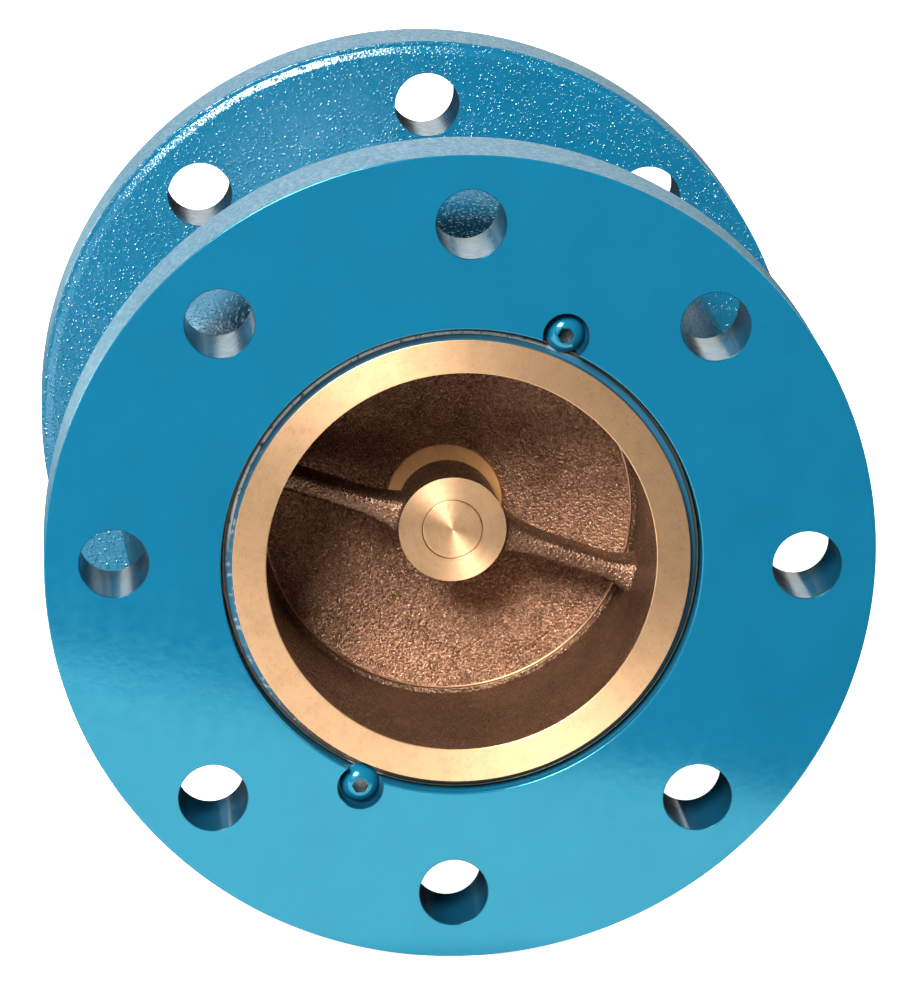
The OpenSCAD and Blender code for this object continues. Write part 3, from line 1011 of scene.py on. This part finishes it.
def plug_outline():
    """The plug's section, from the front end of its stem to the rear end."""
    rim_r = INLET_R - LIP_W - 0.25
    rim_y = SEAT_Y + 0.125
    edge_y = rim_y + PLUG_R - rim_r
    front_r = STEM_R - 0.08
    corners = [
        (0, STEM_FRONT_Y, 0, "bronze"),
        (front_r, STEM_FRONT_Y, 0.22, "bronze"),
        (front_r, DISH_Y + 1, 0.6, "bronze_spot"),
        (SPOT_R, DISH_Y + 1, 0.2, "bronze"),
        (SPOT_R + 0.4, DISH_Y + 0.2, 0, "cast_bronze"),
        (SPOT_R + 3.0, DISH_Y - 0.6, 1.2, "cast_bronze"),
        (SPOT_R + 6.0, DISH_Y - 1.2, 4, "cast_bronze"),
        (rim_r - 1.0, rim_y + 0.7, 0, "cast_bronze"),
        (rim_r - 0.35, rim_y, 0.15, "bronze"),
        # The closing edge's cone takes the darker bronze, as painted shade
        (rim_r, rim_y, 0.1, "cast_bore"),
        (PLUG_R, edge_y, 0.4, "bronze"),
        (PLUG_R, edge_y + 3.5, 1.0, "cast_bronze"),
        (BACK_HOLLOW_R, BACK_HOLLOW_Y, 4, "cast_bronze"),
        (SPRING_SEAT_R, SPRING_Y0, 0.5, "bronze"),
        (SPRING_BOSS_R, SPRING_Y0, 0.4, "bronze"),
        (SPRING_BOSS_R, SPRING_BOSS_Y, 0.6, "bronze"),
        (STEM_R, SPRING_BOSS_Y, 0.4, "bronze"),
        (STEM_R, STEM_REAR_Y, 1.0, "bronze"),
        (0, STEM_REAR_Y, 0, "bronze"),
    ]
    return resampled(rounded(corners, closed=False), 0.8, closed=False)


def make_plug():
    """The dished bronze plug with its turned stem, spot and closing edge."""
    materials = finishes("bronze", "bronze_spot", "cast_bronze", "cast_bore")
    pad = pad_relief()
    grain = lumps(6, 0.30, seed=11)

    def relief(spot, zone):
        on_dish = zone == "cast_bronze" and spot.y < DISH_Y + 2
        return grain(spot, zone) + (pad(spot) if on_dish else 0.0)

    plug = turned("plug_casting", plug_outline(), materials, closed=False, relief=relief)
    weighted(plug)
    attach(plug, "plug")
    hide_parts("plug")


def pad_relief():
    """A blank raised pad on the dish, long across the radius."""
    a = math.radians(PAD_ANGLE)
    centre = Vector((PAD_CENTRE_R * math.cos(a), PAD_CENTRE_R * math.sin(a)))
    across = Vector((-math.sin(a), math.cos(a)))
    half_length = 13.0
    half_width = 3.6
    height = 0.7
    slope = 1.0

    def relief(spot):
        off = Vector((spot.x, spot.z)) - centre
        along = off.dot(across)
        beside = off.dot(centre.normalized())
        reach = max(0.0, abs(along) - (half_length - half_width))
        distance = math.hypot(reach, beside)
        share = min(1.0, max(0.0, (half_width + slope / 2 - distance) / slope))
        return height * share * share * (3 - 2 * share)
    return relief


def make_spring():
    """Closed and ground compression spring, at one length; the real one shortens toward its rear end as
    the plug opens.
    """
    turns = 6.5
    closed_turns = 1.0
    wire_r = WIRE_R * 0.97
    pitch = 2 * WIRE_R
    free = SPRING_Y1 - SPRING_Y0 - pitch
    open_pitch = (free - 2 * closed_turns * pitch) / (turns - 2 * closed_turns)
    steps = round(turns * 48)
    around = 14

    def depth(t):
        if t < closed_turns:
            return t * pitch
        if t < turns - closed_turns:
            return closed_turns * pitch + (t - closed_turns) * open_pitch
        return free - (turns - t) * pitch

    mesh = bmesh.new()
    rings = []
    for i in range(steps + 1):
        t = turns * i / steps
        a = -2 * math.pi * t
        ring = []
        for k in range(around):
            b = 2 * math.pi * k / around
            r = COIL_R + wire_r * math.cos(b)
            y = SPRING_Y0 + WIRE_R + depth(t) + wire_r * math.sin(b)
            ring.append(mesh.verts.new(Vector((r * math.cos(a), y, r * math.sin(a))) * MM))
        rings.append(ring)
    for low, high in zip(rings, rings[1:]):
        for k in range(around):
            mesh.faces.new((low[k], low[(k + 1) % around], high[(k + 1) % around], high[k]))
    mesh.faces.new(rings[0])
    mesh.faces.new(reversed(rings[-1]))
    spring = finished("spring_coil", mesh, [FINISH["wire"]])
    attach(spring, "housing")
    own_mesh(spring)
    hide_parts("spring")


def make_screw(node):
    """Round-headed socket screw under the same paint as the body."""
    materials = finishes("face", "socket")
    top = LEDGE_Y - SCREW_HEAD_H
    dome_centre = (SCREW_DOME_AT[0], top + SCREW_DOME_AT[1])
    points = [(0, top, "face")]
    points += [(r, y, "face") for r, y in arc(dome_centre, SCREW_DOME_R, -75, -14, 12)]
    points += [
        (SCREW_HEAD_R, LEDGE_Y, "face"),
        (SCREW_SHANK_R, LEDGE_Y, "face"),
        (SCREW_SHANK_R, LEDGE_Y + SCREW_SHANK_LEN, "face"),
        (0, LEDGE_Y + SCREW_SHANK_LEN, "face"),
    ]
    screw = turned(node + "_head", points, materials, closed=False, segments=SCREW_ROUND)
    corner_r = SOCKET_W / 2 / math.cos(math.radians(30))
    socket_points = [
        (0, top - 2, "socket"),
        (corner_r, top - 2, "socket"),
        (corner_r, top + SOCKET_DEPTH, "socket"),
        (0, top + SOCKET_TIP_DEPTH, "socket"),
    ]
    socket = turned("socket", socket_points, materials, closed=False, segments=6)
    combine(screw, [socket], "DIFFERENCE")
    clocked(screw, SCREW_CIRCLE_R, SCREW_ANGLES[node])
    weighted(screw)
    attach(screw, "housing")
    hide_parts(node)


def make_bushing():
    """The bronze sleeve that guides the plug's rear stem."""
    materials = finishes("bronze")
    nose_y = REAR_HUB_Y - BUSHING_NOSE
    bore_r = STEM_R + BUSHING_CLEARANCE
    corners = [
        (bore_r, nose_y, 0.5, "bronze"),
        (BUSHING_R, nose_y, 0.6, "bronze"),
        (BUSHING_R, REAR_HUB_BACK_Y, 0.3, "bronze"),
        (bore_r, REAR_HUB_BACK_Y, 0.5, "bronze"),
    ]
    outline = rounded(corners, closed=True)
    bushing = turned("rear_bushing_sleeve", outline, materials, closed=True, segments=BORE_ROUND)
    weighted(bushing)
    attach(bushing, "housing")
    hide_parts("rear_guide_bushing")


def finish_o_ring():
    """The seal keeps its own shape and gets its rubber."""
    seal = frame["nodes"]["seat_o_ring"]
    seal.data.materials.clear()
    seal.data.materials.append(FINISH["rubber"])


# ---------------------------------------------------------------- stage, light and camera

def make_stage():
    """The floor that the valve stands on."""
    floor_z = cad_bounds[0].z
    sides = ((-1, -1), (1, -1), (1, 1), (-1, 1))
    corners = [(FLOOR_SPAN * x, FLOOR_SPAN * y, floor_z) for x, y in sides]
    data = bpy.data.meshes.new("floor")
    data.from_pydata(corners, [], [(0, 1, 2, 3)])
    floor = bpy.data.objects.new("floor", data)
    bpy.context.scene.collection.objects.link(floor)
    data.materials.append(floor_white("floor_white"))


def softbox(name, azimuth, elevation, distance, width, height, power):
    """An area light that faces the valve's middle; azimuth 0 is in front, and negative is to the left.

    It isn't seen by the camera, and the gloss shows it."""
    a, e = math.radians(azimuth), math.radians(elevation)
    aim = Vector((0, LENGTH * MM / 2, 0))
    back = Vector((math.sin(a) * math.cos(e), -math.cos(a) * math.cos(e), math.sin(e)))
    light = bpy.data.lights.new(name, "AREA")
    light.shape = "RECTANGLE"
    light.size = width
    light.size_y = height
    light.energy = power
    lamp = bpy.data.objects.new(name, light)
    lamp.visible_camera = False
    lamp.location = aim + back * distance
    lamp.rotation_euler = (-back).to_track_quat("-Z", "Y").to_euler()
    bpy.context.scene.collection.objects.link(lamp)


def make_lights():
    """The lamps; the rear and right ones keep the sides that the photo doesn't show from going dark."""
    for lamp in LAMPS:
        softbox(*lamp)


def make_world():
    """White to the camera, and a faint even light for everything else."""
    world = bpy.data.worlds.new("studio")
    world.use_nodes = True
    tree = world.node_tree
    sky = tree.nodes["Background"]
    sky.inputs["Color"].default_value = (1, 1, 1, 1)
    path = tree.nodes.new("ShaderNodeLightPath")
    strength = tree.nodes.new("ShaderNodeMapRange")
    strength.inputs["To Min"].default_value = SKY_ON_DULL
    strength.inputs["To Max"].default_value = SKY_IN_GLOSS
    tree.links.new(path.outputs["Is Glossy Ray"], strength.inputs["Value"])
    white = tree.nodes.new("ShaderNodeMath")
    white.operation = "MAXIMUM"
    tree.links.new(strength.outputs["Result"], white.inputs[0])
    tree.links.new(path.outputs["Is Camera Ray"], white.inputs[1])
    tree.links.new(white.outputs[0], sky.inputs["Strength"])
    bpy.context.scene.world = world
    bpy.context.scene.view_settings.view_transform = "Standard"


def make_camera():
    """Long lens from above and a little to the left, looking down the inlet."""
    position = Vector((-0.1215, -1.3791, 0.4055))
    aim = Vector((-0.0017, 0, 0.0183))
    roll = math.radians(1.51)
    lens = bpy.data.cameras.new("camera")
    lens.lens = 189.7
    lens.sensor_width = 36
    lens.sensor_fit = "AUTO"
    camera = bpy.data.objects.new("camera", lens)
    turn = (aim - position).to_track_quat("-Z", "Y").to_matrix() @ Matrix.Rotation(roll, 3, "Z")
    camera.matrix_world = Matrix.Translation(position) @ turn.to_4x4()
    bpy.context.scene.collection.objects.link(camera)
    bpy.context.scene.camera = camera


make_camera()
make_stage()
make_lights()
make_world()
make_body()
make_seat_ring()
make_plug()
make_spring()
make_bushing()
finish_o_ring()
for screw_node in SCREW_ANGLES:
    make_screw(screw_node)
